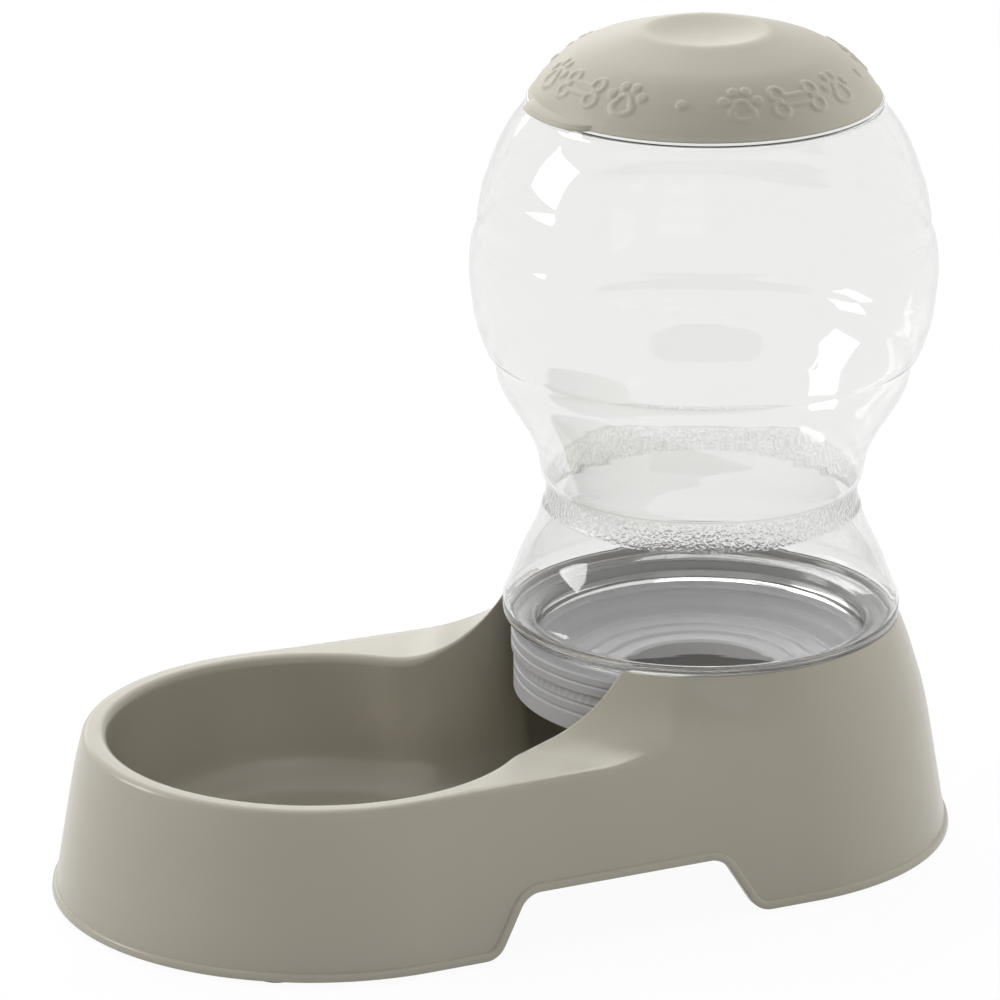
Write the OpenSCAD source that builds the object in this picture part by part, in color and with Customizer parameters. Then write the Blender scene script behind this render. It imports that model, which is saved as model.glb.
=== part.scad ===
// Gravity pet feeder. A moulded base holds the bowl and a low tower. An upturned
// clear bottle stands on the tower's collar, with a screwed ring round its neck
// and a pressed lid on its top. Four rubber feet carry the base.
// X runs from the bowl to the tower, Z is up, and the table top is at z = 0.

/* [Base] */
// Distance from the bowl's centre to the tower's axis
bowl_spacing = 165.5; // [150:0.5:220]
// Outer radius of the bowl end, at the table
bowl_end_r = 102.7; // [98:0.1:120]
// Height of the deck round the bowl, above the table
deck_z = 66.3; // [56:0.1:76]
// Height of the collar that the bottle stands on, above the table
collar_z = 91; // [84:0.5:110]
// Thickness of the moulded walls
wall = 2.8; // [1.8:0.1:3.4]
// Width of the collar's flat top
collar_w = 2.3; // [1.8:0.1:3.4]
// Lean of the outer wall's lower part, in degrees
wall_draft = 9.4; // [4:0.1:12]
// Height at which the outer wall starts to curl in
curl_z = 44; // [36:0.5:54]
// Radius of that curl
curl_r = 205; // [150:1:400]
// Radius of the hollow sweep from the deck up to the collar
fairing_r = 44; // [30:0.5:55]
// Distance that the sweep reaches out from the collar
fairing_reach = 42; // [36:0.5:55]

/* [Bowl and throat] */
// Inner radius of the bowl at its rim
bowl_r = 81.5; // [70:0.1:84]
// Height of the bowl's floor, above the table
floor_z = 12; // [8:0.5:18]
// Lean of the bowl's inner wall, in degrees
basin_draft = 5; // [2:0.5:8]
// Radius between the bowl's wall and its floor
basin_corner_r = 18; // [8:0.5:22]
// Width of the throat between the bowl and the tower
throat_w = 105.6; // [80:0.1:112]
// Plan radius where the bowl turns into the throat
throat_turn_r = 30; // [15:0.5:40]

/* [Foot bead and finger arches] */
// Height of the bead along the base's lower edge
bead_h = 3.3; // [2:0.1:5]
// Distance that the bead stands out from the wall
bead_out = 1.2; // [0.6:0.1:2]
// Height of each finger arch, above the base's lower edge
arch_h = 23; // [12:0.5:28]
// Length of each arch along its flat top, between the corners' sharp points
arch_top_w = 84; // [50:0.5:100]
// Slope of the arch's ends, in degrees
arch_slope = 59; // [45:1:75]
// Radius of the arch's corners
arch_corner_r = 10; // [4:0.5:11]
// Distance of the arch's middle from midway between bowl and tower
arch_shift = 4.2; // [-10:0.1:10]

/* [Feet] */
// Radius of a rubber foot
foot_r = 10; // [7:0.5:12]
// Height that a foot stands out below the base
foot_h = 2; // [1:0.1:4]
// Depth of the recess that a foot sits in
foot_seat = 1.5; // [1:0.1:2.5]
// Radial gap round a foot in its recess
foot_gap = 0.3; // [0.1:0.1:0.6]
// Distance of the bowl end's feet in from the foot of its wall
bowl_foot_inset = 12.7; // [12:0.1:20]
// Distance of the tower end's feet in from the foot of its wall
tower_foot_inset = 16.4; // [12:0.1:22]
// Bearing of the feet from the base's long axis, in degrees
foot_bearing = 57; // [40:1:70]

/* [Bottle] */
// Radius of the plug that drops inside the collar
plug_r = 75.4; // [68:0.1:80]
// Clearance between the plug and the collar
plug_gap = 0.3; // [0.2:0.05:0.8]
// Thickness of the blown wall
bottle_wall = 1.5; // [1:0.1:2.2]
// Height of the bottle above the collar, to its mouth ledge. The body stretches to reach it
bottle_h = 210.5; // [175:0.5:250]
// Depth of the plug below the collar's top
plug_depth = 3; // [2:0.1:4]
// Distance that the bead above the seat stands out past the collar
seat_over = 0.4; // [0:0.1:1]
// Height of that bead
seat_bead_h = 6; // [4:0.1:8]
// Largest radius, at the belt
belt_r = 91.5; // [90:0.1:94]
// Height of the belt's widest line above the collar, before the body is stretched
belt_z = 142; // [138:0.5:146]
// Height of the belt below its widest line
belt_low = 31.5; // [28:0.5:33]
// Height of the belt above its widest line
belt_high = 11; // [8:0.5:13]
// Radius of the two round globes, below and above the belt
globe_r = 87.5; // [86:0.1:89]
// Distance of the lower globe's middle below the belt
globe_drop = 11; // [8:0.5:14]
// Distance of the upper globe's middle above the belt
globe_lift = 12; // [9:0.5:15]
// Distance of the upper globe's middle below the mouth ledge
mouth_fall = 56.5; // [52:0.5:60]
// Distance from the lower globe's middle down to its foot
globe_foot = 48; // [44:0.5:50]
// Distance from the lower globe's middle down to the groove under the belt
groove_at = 29; // [26:0.5:32]
// Radius at the middle of the waist
waist_r = 61.6; // [58:0.1:64]
// Height of the waist above the collar
waist_z = 50.5; // [46:0.5:55]
// Height of the plain band round the waist
waist_band_h = 11; // [6:0.5:14]
// Height of the bead under the mouth ledge
lip_bead_h = 2; // [1:0.1:3]
// Radius of the stepped-in mouth that the lid caps
mouth_r = 63.4; // [58:0.1:63.6]
// Height of the mouth's upright lip
mouth_h = 4.5; // [3:0.1:5]
// Outer radius of the neck
neck_r = 66; // [60:0.1:68]
// Length of the neck below the plug
neck_len = 8.6; // [7:0.1:10]

/* [Neck ring] */
// Outer radius of the ring's lower skirt
ring_r = 74; // [72:0.1:74.4]
// Distance that the ring's upper band stands out from its skirt
ring_band_out = 1; // [0.5:0.1:1]
// Height of the ring
ring_h = 25; // [22:0.5:27]
// Height of the upper band
ring_band_h = 8; // [5:0.5:10]
// Gap between the ring's top and the collar's top
ring_drop = 7; // [5:0.5:9]
// Wall of the ring
ring_wall = 2.2; // [1.6:0.1:2.6]
// Radius of the food outlet
outlet_r = 30; // [24:0.5:40]
// Depth of the ring's cup below the neck's lip
cup_depth = 10; // [6:0.5:12]
// Rounding between the cup's wall and its floor
cup_round = 5; // [2:0.5:8]
// Fall of the cup's stepped floor towards the outlet
cup_fall = 2.4; // [0.6:0.3:4.5]
// Number of steps round the cup's floor
cup_steps = 3; // [1:1:5]
// Length of the spout below the cup
spout_len = 4; // [2:0.5:6]
// Clearance between the neck and the ring's bore
neck_gap = 0.3; // [0.2:0.05:0.6]

/* [Lid] */
// Outer radius of the lid's rim
lid_r = 68.6; // [66:0.1:70]
// Height of the lid's crown above its rim
lid_h = 26.7; // [22:0.1:32]
// Thickness of the lid
lid_wall = 2; // [1.4:0.1:2.4]
// Radius of the crown's ring, round the dish
crown_r = 25; // [18:0.5:30]
// Slope of the crown outside its ring, in degrees
crown_slope = 15; // [8:0.5:20]
// Radius of the lid's round shoulder
lid_shoulder_r = 36; // [30:0.5:45]
// Height of the upright band at the rim
rim_h = 1; // [0.5:0.1:2]
// Depth of the dish in the crown
dish_depth = 3; // [1:0.1:5]
// Clearance between the lid's skirt and the mouth's lip
lid_gap = 0.4; // [0.3:0.05:0.8]
// Width of the finger tab
tab_w = 32; // [20:1:45]
// Distance that the finger tab stands out from the rim
tab_out = 3; // [1:0.1:5]
// Thickness of the finger tab
tab_t = 2; // [1.2:0.1:3]
// Bearing of the finger tab, in degrees
tab_bearing = 176; // [160:1:200]

/* [Hidden] */
$fn = 128;

// Amount by which a cutting shape runs past the face that it cuts
past = 1;
// Amount by which a round crosses the face that it blends into, so that they meet
nip = 0.05;
// Steps along a rounded stretch of a profile
steps = 8;

// Points along an arc about a centre, from one bearing to another
function arc(centre, r, from, to, n = steps) =
    [for (i = [0:n]) let (a = from + (to - from) * i / n) centre + r * [cos(a), sin(a)]];

// How far the outer wall has leaned in at a height
function curl_angle(z) = asin(sin(wall_draft) + (z - curl_z) / curl_r);
function wall_inset(z) = z <= curl_z
    ? (z - foot_h) * tan(wall_draft)
    : (curl_z - foot_h) * tan(wall_draft) + curl_r * (cos(wall_draft) - cos(curl_angle(z)));
wall_line = concat([[wall_inset(foot_h), foot_h]],
                   [for (i = [0:steps]) let (z = curl_z + (collar_z - curl_z) * i / steps)
                    [wall_inset(z), z]]);

collar_bore_r = plug_r + plug_gap;
collar_r = collar_bore_r + collar_w;
tower_end_r = collar_r + wall_inset(collar_z);
bowl_x = -(bowl_spacing + tower_end_r - bowl_end_r) / 2;
tower_x = bowl_x + bowl_spacing;
lean = asin((bowl_end_r - tower_end_r) / bowl_spacing);

// Both round ends and the flats between them, all leaning in by the same line of
// [inset, height] points. Each flat runs along the line that touches both rounds,
// and meets each round where it touches it.
module stadium(line) {
    low = line[0][1];
    high = line[len(line) - 1][1];
    tall = high - low;
    side = function (r, from)
        concat([[from, low]], [for (p = line) [r - p[0], p[1]]], [[from, high]]);
    translate([bowl_x, 0, 0]) rotate([0, 0, 90 - lean])
        rotate_extrude(angle = 180 + 2 * lean) polygon(side(bowl_end_r, 0));
    translate([tower_x, 0, 0]) rotate([0, 0, lean - 90])
        rotate_extrude(angle = 180 - 2 * lean) polygon(side(tower_end_r, 0));
    for (m = [0, 1]) mirror([0, m, 0]) intersection() {
        translate([bowl_x, 0, 0]) rotate([0, 0, -lean]) rotate([90, 0, 90])
            linear_extrude(bowl_spacing * cos(lean)) polygon(side(bowl_end_r, -bowl_end_r / 2));
        translate([-2 * bowl_spacing, 0, low]) cube([4 * bowl_spacing, 2 * bowl_end_r, tall]);
    }
}

// All that lies under the deck, the hollow sweep and the collar, lowered by drop
module under_deck(drop) {
    far = bowl_spacing + 2 * bowl_end_r;
    centre = [collar_r + fairing_reach, deck_z + fairing_r];
    top_angle = 180 + asin((centre[1] - collar_z) / fairing_r);
    sweep = arc(centre, fairing_r + drop, 270, top_angle);
    top = sweep[steps];
    translate([tower_x, 0, 0]) rotate_extrude()
        polygon(concat([[0, -past], [far, -past], [far, deck_z - drop]], sweep,
                       [[0, top[1]]]));
}

// Line of the basin's wall and floor as [inset, height] points. Grow makes the
// outer skin of the same basin.
corner_z = floor_z + basin_corner_r;
corner_inset = (deck_z - corner_z + basin_corner_r * sin(basin_draft)) * tan(basin_draft)
    + basin_corner_r * cos(basin_draft);
function basin_line(grow) = let (
    r = basin_corner_r + grow,
    start = [corner_inset - r * cos(basin_draft), corner_z - r * sin(basin_draft)],
    brim = start[0] - (deck_z - start[1]) * tan(basin_draft))
    concat([[brim, collar_z + past], [brim, deck_z]],
           [for (p = arc([corner_inset, corner_z], r, 180 + basin_draft, 270)) p]);

// Plan centres of the rounds that turn the bowl into the throat
turn_y = throat_w / 2 + throat_turn_r;
turn_x = bowl_x + sqrt(pow(bowl_r + throat_turn_r, 2) - pow(turn_y, 2));

// Bowl, throat and tower well as one space
module basin(grow) {
    line = basin_line(grow);
    bottom = line[len(line) - 1][1];
    top = line[0][1];
    bore = function (r) concat([[0, top]], [for (p = line) [r - p[0], p[1]]], [[0, bottom]]);
    translate([bowl_x, 0, 0]) rotate_extrude() polygon(bore(bowl_r));
    difference() {
        translate([0, 0, bottom]) linear_extrude(top - bottom)
            polygon([[bowl_x, 0], [turn_x, turn_y], [turn_x, -turn_y]]);
        for (side = [-1, 1]) translate([turn_x, side * turn_y, 0]) rotate_extrude()
            polygon(concat([[0, top]], [for (p = line) [throat_turn_r + nip + p[0], p[1]]],
                           [[0, bottom]]));
    }
    half = throat_w / 2;
    start_x = turn_x - throat_turn_r / 4;
    translate([start_x, 0, 0]) rotate([90, 0, 90]) linear_extrude(tower_x - start_x)
        polygon(concat([for (p = line) [half - p[0], p[1]]],
                       [for (i = [len(line) - 1:-1:0]) [line[i][0] - half, line[i][1]]]));
    translate([tower_x, 0, 0]) rotate_extrude() polygon(bore(collar_bore_r));
}

// Outline of a finger arch, seen from the side. Grow adds the bead round it.
arch_x = (bowl_x + tower_x) / 2 + arch_shift;
arch_run = arch_h / tan(arch_slope);
module arch_outline(grow) {
    top_r = arch_corner_r + grow;
    hollow_r = arch_corner_r - grow;
    top = [arch_top_w / 2 - arch_corner_r * tan(arch_slope / 2), foot_h + arch_h - arch_corner_r];
    foot = [arch_top_w / 2 + arch_run + arch_corner_r * tan(arch_slope / 2), foot_h + arch_corner_r];
    right = concat(arc(foot, hollow_r, 270, 270 - arch_slope),
                   arc(top, top_r, 90 - arch_slope, 90));
    low = foot_h - past;
    translate([arch_x, 0]) polygon(concat(
        [[foot[0], low]], right,
        [for (i = [len(right) - 1:-1:0]) [-right[i][0], right[i][1]]], [[-foot[0], low]]));
}

// A flat outline stood up along X and run right across the base
module across(from, to) {
    translate([0, to, 0]) rotate([90, 0, 0]) linear_extrude(to - from) children();
}

far_y = bowl_end_r + bead_out + past;
basin_skin_y = bowl_r + wall;

// Bead along the lower edge and round the arches, still solid inside
module bead() {
    proud = [for (p = wall_line) if (p[1] <= curl_z) [p[0] - bead_out, p[1]]];
    difference() {
        stadium(proud);
        difference() {
            translate([-2 * far_y, -far_y, foot_h + bead_h]) cube([4 * far_y, 2 * far_y, curl_z]);
            across(-far_y, far_y) arch_outline(bead_h);
        }
    }
}

// Plan places of the feet as [x, y], front left first
function foot_at(end_x, r, toward) = [end_x + toward * r * cos(foot_bearing), r * sin(foot_bearing)];
bowl_foot = foot_at(bowl_x, bowl_end_r - bowl_foot_inset, -1);
tower_foot = foot_at(tower_x, tower_end_r - tower_foot_inset, 1);
foot_places = [[bowl_foot[0], -bowl_foot[1]], [tower_foot[0], -tower_foot[1]], bowl_foot, tower_foot];
seat_r = foot_r + foot_gap;
pad_r = seat_r + wall;
pad_h = foot_seat + wall;

// Round pads inside the skirt, each with a rib up to the underside of the deck
module foot_pads() {
    for (p = foot_places) translate([p[0], p[1], foot_h]) {
        cylinder(r = pad_r, h = pad_h);
        translate([-wall / 2, -pad_r, 0]) cube([wall, 2 * pad_r, deck_z - foot_h - wall / 2]);
    }
}

module outer_body() {
    intersection() {
        stadium(wall_line);
        under_deck(0);
    }
    bead();
}

module hollow() {
    inner = concat([[wall, foot_h - past]], [for (p = wall_line) [p[0] + wall, p[1]]]);
    difference() {
        intersection() {
            stadium(inner);
            under_deck(wall);
        }
        basin(wall);
        foot_pads();
    }
}

module base() color("#8f887b") {
    difference() {
        outer_body();
        hollow();
        basin(0);
        for (side = [0, 1]) mirror([0, side, 0]) across(basin_skin_y, far_y) arch_outline(0);
        for (p = foot_places) translate([p[0], p[1], foot_h - past])
            cylinder(r = seat_r, h = foot_seat + past);
    }
}

// Points along a curve that leaves a towards b and arrives at c from b
function bend(a, b, c, n = steps) =
    [for (i = [0:n]) let (t = i / n) (1 - t) * (1 - t) * a + 2 * t * (1 - t) * b + t * t * c];

// The bottle's lines are [radius, height above the collar] points, low to high
seat_edge_r = collar_r + seat_over;
low_globe_z = belt_z - globe_drop;
high_globe_z = belt_z + globe_lift;
ledge_z = high_globe_z + mouth_fall;
ledge_r = sqrt(globe_r * globe_r - pow(mouth_fall - lip_bead_h, 2)) + 1;
stretch = (bottle_h - seat_bead_h) / (ledge_z - seat_bead_h);
groove_h = 4;
crease_h = 4;

// Height to radius on a ball of radius r whose middle is at height c
function ball(r, c, z) = [sqrt(r * r - pow(z - c, 2)), z];
function ball_line(r, c, from, to, n = steps) =
    [for (i = [0:n]) ball(r, c, from + (to - from) * i / n)];

// The line drawn out above the seat's bead, so that its ledge comes to bottle_h
function stretched(line) = [for (p = line) [p[0], seat_bead_h + (p[1] - seat_bead_h) * stretch]];

// The blown body from the seat's round to the mouth, set in by t
function body_line(t) = let (
    low_r = globe_r - t,
    low_z = low_globe_z - globe_foot,
    groove_z = low_globe_z - groove_at,
    crease_z = belt_z + belt_high + crease_h)
    concat(
        bend([seat_edge_r - t - 0.9, seat_bead_h + 1], [waist_r - t + 6.9, waist_z - 21],
             [waist_r - t + 0.8, waist_z - waist_band_h / 2]),
        [[waist_r - t, waist_z]],
        bend([waist_r - t + 0.2, waist_z + waist_band_h / 2], [waist_r - t + 3, waist_z + 18],
             ball(low_r, low_globe_z, low_z - groove_h)),
        ball_line(low_r, low_globe_z, low_z, groove_z - groove_h, 4),
        [ball(low_r, low_globe_z, groove_z) - [1.6, 0],
         ball(low_r, low_globe_z, groove_z + groove_h) - [1.7, 0]],
        ball_line(belt_r - t, belt_z, belt_z - belt_low, belt_z + belt_high),
        [ball(belt_r - t, belt_z, crease_z) - [0.8, 0],
         [low_r + 1, crease_z + crease_h], [low_r + 0.4, crease_z + 2 * crease_h]],
        ball_line(low_r, high_globe_z, crease_z + 3 * crease_h, ledge_z - 5));

module bottle() color("#dfe6ea", 0.4) {
    t = bottle_wall;
    plug_foot = -plug_depth;
    outer = concat(
        [[neck_r, plug_foot - neck_len], [neck_r, plug_foot], [plug_r - 1, plug_foot],
         [plug_r, plug_foot + 1], [plug_r, 0]],
        bend([seat_edge_r - 1.6, 0], [seat_edge_r + 0.4, 0.4], [seat_edge_r - 0.1, seat_bead_h], 5),
        stretched(body_line(0)),
        [[ledge_r, bottle_h - lip_bead_h], [ledge_r, bottle_h - 0.5], [ledge_r - 0.5, bottle_h],
         [mouth_r, bottle_h], [mouth_r, bottle_h + mouth_h]]);
    inner = concat(
        [[neck_r - t, plug_foot - neck_len], [neck_r - t, plug_foot + t],
         [plug_r - 1 - t, plug_foot + t], [plug_r - t, t], [seat_edge_r - t - 1, seat_bead_h / 2]],
        stretched(body_line(t)),
        [[ledge_r - t - 1, bottle_h - lip_bead_h - 0.5], [ledge_r - t - 1, bottle_h - t],
         [mouth_r - t, bottle_h - t], [mouth_r - t, bottle_h + mouth_h]]);
    translate([tower_x, 0, collar_z]) rotate_extrude()
        polygon(concat(outer, [for (i = [len(inner) - 1:-1:0]) inner[i]]));
}

// The ring's heights are counted from its lower edge. Its cup catches the neck's
// lip, and its stepped floor falls to the outlet.
module neck_ring() color("#a4a4aa") {
    w = ring_wall;
    bore_r = neck_r + neck_gap;
    cup_r = neck_r - bottle_wall;
    seat_z = ring_h + ring_drop - plug_depth - neck_len - neck_gap;
    cup_z = seat_z - cup_depth;
    corner = [cup_r - cup_round, cup_z + cup_round];
    tread = (corner[0] - outlet_r) / (cup_steps + 1);
    riser = cup_fall / cup_steps;
    edge = 0.6;
    spout_top = cup_z - cup_fall - w;
    floor_line = [for (i = [1:cup_steps]) each [
        [corner[0] - i * tread + edge, cup_z - (i - 1) * riser],
        [corner[0] - i * tread, cup_z - i * riser]]];
    translate([tower_x, 0, collar_z - ring_drop - ring_h]) rotate_extrude() polygon(concat(
        [[ring_r - w, 0], [ring_r - edge, 0], [ring_r, edge], [ring_r, ring_h - ring_band_h],
         [ring_r + ring_band_out, ring_h - ring_band_h], [ring_r + ring_band_out, ring_h - edge],
         [ring_r + ring_band_out - edge, ring_h], [bore_r, ring_h], [bore_r, seat_z], [cup_r, seat_z]],
        arc(corner, cup_round, 0, -90, 5),
        floor_line,
        [[outlet_r + 1, cup_z - cup_fall], [outlet_r, cup_z - cup_fall - 1],
         [outlet_r, spout_top - spout_len], [outlet_r + w, spout_top - spout_len],
         [outlet_r + w, spout_top]],
        arc(corner, cup_round + w, -90, 0, 5),
        [[bore_r + w, seat_z - w], [bore_r + w, ring_h - w], [ring_r - w, ring_h - w]]));
}

// The lid's heights are counted from its rim. Its outer line is a straight slope
// from the crown that turns down to the rim on one round.
slope_in = [sin(crown_slope), cos(crown_slope)];
slope_out = [cos(crown_slope), -sin(crown_slope)];
crown_at = [crown_r, lid_h];
rim_at = [lid_r, rim_h];
shoulder_deep = slope_in * crown_at - lid_shoulder_r;
shoulder_up = slope_in * rim_at - shoulder_deep;
shoulder_along = sqrt(lid_shoulder_r * lid_shoulder_r - shoulder_up * shoulder_up);
shoulder_c = shoulder_deep * slope_in + (slope_out * rim_at - shoulder_along) * slope_out;
shoulder_end = 90 - crown_slope - atan2(shoulder_along, shoulder_up);
dish_r = (crown_r * crown_r + dish_depth * dish_depth) / (2 * dish_depth);

// Line from the lid's middle out to its rim, set in by t
function lid_line(t) = let (
    edge = asin((crown_r - 2) / dish_r))
    concat(arc([0, lid_h - dish_depth + dish_r], dish_r + t, 270, 270 + edge, 5),
           arc(shoulder_c, lid_shoulder_r - t, 90 - crown_slope, shoulder_end));

module tab(out, half_w, z, h) {
    r = pow(half_w, 2) / (2 * out) + out / 2;
    translate([lid_r + out - r, 0, z]) cylinder(r = r, h = h);
}

module lid() color("#a19b8e") translate([tower_x, 0, collar_z + bottle_h]) {
    skirt_r = mouth_r + lid_gap;
    shell = concat(lid_line(0), [[lid_r, 0], [lid_r - lid_wall, 0]]);
    under = lid_line(lid_wall);
    difference() {
        union() {
            rotate_extrude() polygon(concat([[0, 0]], [for (q = [0:len(shell) - 2]) shell[q]]));
            rotate([0, 0, tab_bearing]) tab(tab_out, tab_w / 2, 0, tab_t);
        }
        translate([0, 0, -past]) rotate_extrude()
            polygon(concat([[0, 0]], [for (q = under) q + [0, past]], [[lid_r - lid_wall, 0]]));
    }
    difference() {
        rotate_extrude()
            polygon(concat([[0, 0]], [for (q = under) q + [0, 0.2]], [[lid_r - lid_wall, 0]]));
        translate([0, 0, -past]) cylinder(r = skirt_r, h = lid_h);
        translate([0, 0, -past]) difference() {
            cylinder(r = lid_r, h = lid_h);
            cylinder(r = skirt_r + lid_wall * 0.8, h = lid_h);
        }
    }
}

module foot(i) color("#3a3a3c")
    translate([foot_places[i][0], foot_places[i][1], 0]) cylinder(r = foot_r, h = foot_h + foot_seat);
module foot_front_left() foot(0);
module foot_front_right() foot(1);
module foot_rear_left() foot(2);
module foot_rear_right() foot(3);

base();
bottle();
neck_ring();
lid();
foot_front_left();
foot_front_right();
foot_rear_left();
foot_rear_right();
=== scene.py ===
"""Dresses the gravity pet feeder: moulded base, blown bottle, neck ring, lid and feet."""

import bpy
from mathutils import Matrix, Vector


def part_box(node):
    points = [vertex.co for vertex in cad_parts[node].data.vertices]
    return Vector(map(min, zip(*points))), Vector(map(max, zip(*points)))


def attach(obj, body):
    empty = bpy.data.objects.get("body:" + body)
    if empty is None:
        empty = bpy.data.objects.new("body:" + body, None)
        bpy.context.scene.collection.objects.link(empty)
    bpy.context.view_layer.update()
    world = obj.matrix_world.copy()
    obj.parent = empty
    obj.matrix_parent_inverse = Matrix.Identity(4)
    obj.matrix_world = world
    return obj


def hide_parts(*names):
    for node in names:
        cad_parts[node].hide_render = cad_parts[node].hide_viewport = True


bl_info = {
    "name": "Gravity Pet Feeder",
    "version": (1, 0, 0),
    "blender": (4, 5, 0),
    "location": "View3D > Sidebar > Feeder",
    "description": "Builds the visual pieces of a gravity pet feeder round its CAD frame",
    "category": "Object",
}

import bmesh
import bpy
import numpy as np
from bpy.props import FloatProperty, FloatVectorProperty, IntProperty, PointerProperty
from mathutils import Euler, Vector

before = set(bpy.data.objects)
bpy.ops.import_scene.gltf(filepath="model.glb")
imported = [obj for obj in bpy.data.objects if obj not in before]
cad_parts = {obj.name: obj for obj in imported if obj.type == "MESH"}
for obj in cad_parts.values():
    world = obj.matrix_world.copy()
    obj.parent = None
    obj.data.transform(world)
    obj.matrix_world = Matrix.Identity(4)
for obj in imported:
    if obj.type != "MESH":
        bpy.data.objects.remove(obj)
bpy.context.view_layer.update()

# Millimetres in one of Blender's metres
MM = 1000.0


def linear(hex_colour):
    """sRGB hex to linear RGBA: c/12.92 below 0.04045, ((c + 0.055)/1.055)^2.4 above."""
    c = np.array([int(hex_colour[i:i + 2], 16) / 255 for i in (1, 3, 5)])
    c = np.where(c <= 0.04045, c / 12.92, ((c + 0.055) / 1.055) ** 2.4)
    return tuple(float(v) for v in c) + (1.0,)


def size(label, mm, text):
    """A length property, given in millimetres and kept in metres."""
    return FloatProperty(name=label, description=text, default=mm / MM, min=0.0, unit="LENGTH")


def tone(label, hex_colour, text):
    """A colour property, given in sRGB hex and kept linear."""
    return FloatVectorProperty(name=label, description=text, default=linear(hex_colour), size=4,
                               min=0.0, max=1.0, subtype="COLOR")


def power(label, watts, text):
    """A lamp's power property, in watts."""
    return FloatProperty(name=label, description=text, default=watts, min=0.0, unit="POWER")


class BaseSettings(bpy.types.PropertyGroup):
    """Sizes and colour of the moulded base"""
    spacing: size("Bowl spacing", 165.5, "Distance from the bowl's centre to the tower's axis")
    bowl_end: size("Bowl end radius", 102.7, "Outer radius of the bowl end at the table")
    deck: size("Deck height", 66.3, "Height of the deck round the bowl")
    collar: size("Collar height", 91.0, "Height of the collar that the bottle stands on")
    wall: size("Wall", 2.8, "Thickness of the moulded walls")
    bowl: size("Bowl radius", 81.5, "Inner radius of the bowl at its rim")
    floor: size("Bowl floor", 12.0, "Height of the bowl's floor")
    throat: size("Throat width", 105.6, "Width of the throat between the bowl and the tower")
    rim_round: size("Rim rounding", 3.5, "Rounding of the rim's inner edge")
    crease_round: size("Crease rounding", 4.0, "Rounding where the deck meets the outer wall")
    bead_out: size("Bead", 1.2, "Distance that the lower bead stands out")
    colour: tone("Plastic", "#9E998B", "Warm taupe of the moulded base")


class BottleSettings(bpy.types.PropertyGroup):
    """Wall and tint of the blown bottle"""
    wall: size("Wall", 1.2, "Thickness of the blown wall")
    colour: tone("Tint", "#F5F5F4", "Tint of the clear plastic")


class RingSettings(bpy.types.PropertyGroup):
    """Grip and colour of the screwed neck ring"""
    rib: size("Rib height", 0.45, "Height of the grip ribs round the ring")
    ribs: IntProperty(name="Ribs", description="Number of grip ribs round the ring", default=120, min=12)
    colour: tone("Plastic", "#BCBCBE", "Grey of the milky plastic")
    # Painted glow: the cup is painted a paler grey, for the light that passes through the bottle and its thin
    # milky plastic
    inside: tone("Cup", "#E8E8EA", "Paler grey of the thin cup inside")


class LidSettings(bpy.types.PropertyGroup):
    """Shape and colour of the pressed lid"""
    relief: size("Relief", 0.7, "Height of the raised paw prints and bones")
    stroke: size("Stroke", 1.9, "Width of the raised lines")
    colour: tone("Plastic", "#A39E91", "Warm taupe of the lid")


class FeetSettings(bpy.types.PropertyGroup):
    """Shape and colour of the rubber feet"""
    edge: size("Edge rounding", 0.8, "Rounding of each foot's lower edge")
    colour: tone("Rubber", "#34343A", "Dark grey of the rubber")


class StageSettings(bpy.types.PropertyGroup):
    """Lamps and lens of the studio"""
    key: power("Key lamp", 11.0, "Power of the soft lamp on the left, behind the object")
    window: power("Softbox", 6.5, "Power of the softbox just in front of it, which shows in the bottle")
    right: power("Right lamp", 14.0, "Power of the soft lamp on the right")
    front: power("Front lamp", 8.0, "Power of the soft lamp over the camera")
    top: power("Top lamp", 8.0, "Power of the soft lamp above the object")
    back: power("Back lamp", 16.0, "Power of the soft lamp above and behind the object")
    rear: power("Rear panel", 3.6, "Power of the low pale panel behind, which the tops of the base show")
    lens: FloatProperty(name="Lens", description="Focal length in mm on a 36 mm sensor", default=263.9)


def mm(group, names):
    """The named sizes of a group, in millimetres."""
    return [MM * getattr(group, name) for name in names.split()]


def surface(name, *grids, wrap_rows=False):
    """A mesh object from closed grids of points in mm, each of shape (rows, columns, 3).

    Columns always wrap round. Rows wrap too on a ring-shaped piece; otherwise the
    first and last rows shrink to a point or a line, and are merged there.
    """
    corners, faces = [], []
    for points in grids:
        rows, columns = points.shape[:2]
        index = sum(map(len, corners)) + np.arange(rows * columns).reshape(rows, columns)
        near = index if wrap_rows else index[:-1]
        far = np.roll(index, -1, axis=0) if wrap_rows else index[1:]
        sides = np.stack([near, np.roll(near, -1, axis=1), np.roll(far, -1, axis=1), far], axis=-1)
        corners.append(points.reshape(-1, 3) / MM)
        faces.append(sides.reshape(-1, 4))
    mesh = bpy.data.meshes.new(name)
    mesh.from_pydata(np.concatenate(corners).tolist(), [], np.concatenate(faces).tolist())
    work = bmesh.new()
    work.from_mesh(mesh)
    bmesh.ops.remove_doubles(work, verts=work.verts, dist=1e-6)
    bmesh.ops.recalc_face_normals(work, faces=work.faces)
    work.to_mesh(mesh)
    work.free()
    mesh.shade_smooth()
    piece = bpy.data.objects.new(name, mesh)
    bpy.context.scene.collection.objects.link(piece)
    return piece


def finish_piece(piece, material, body, slot, *nodes):
    """Gives a piece its material and its body, and hides the CAD nodes it stands for; the slot is not used.
    """
    piece.data.materials.append(material)
    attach(piece, body)
    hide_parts(*nodes)


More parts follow.
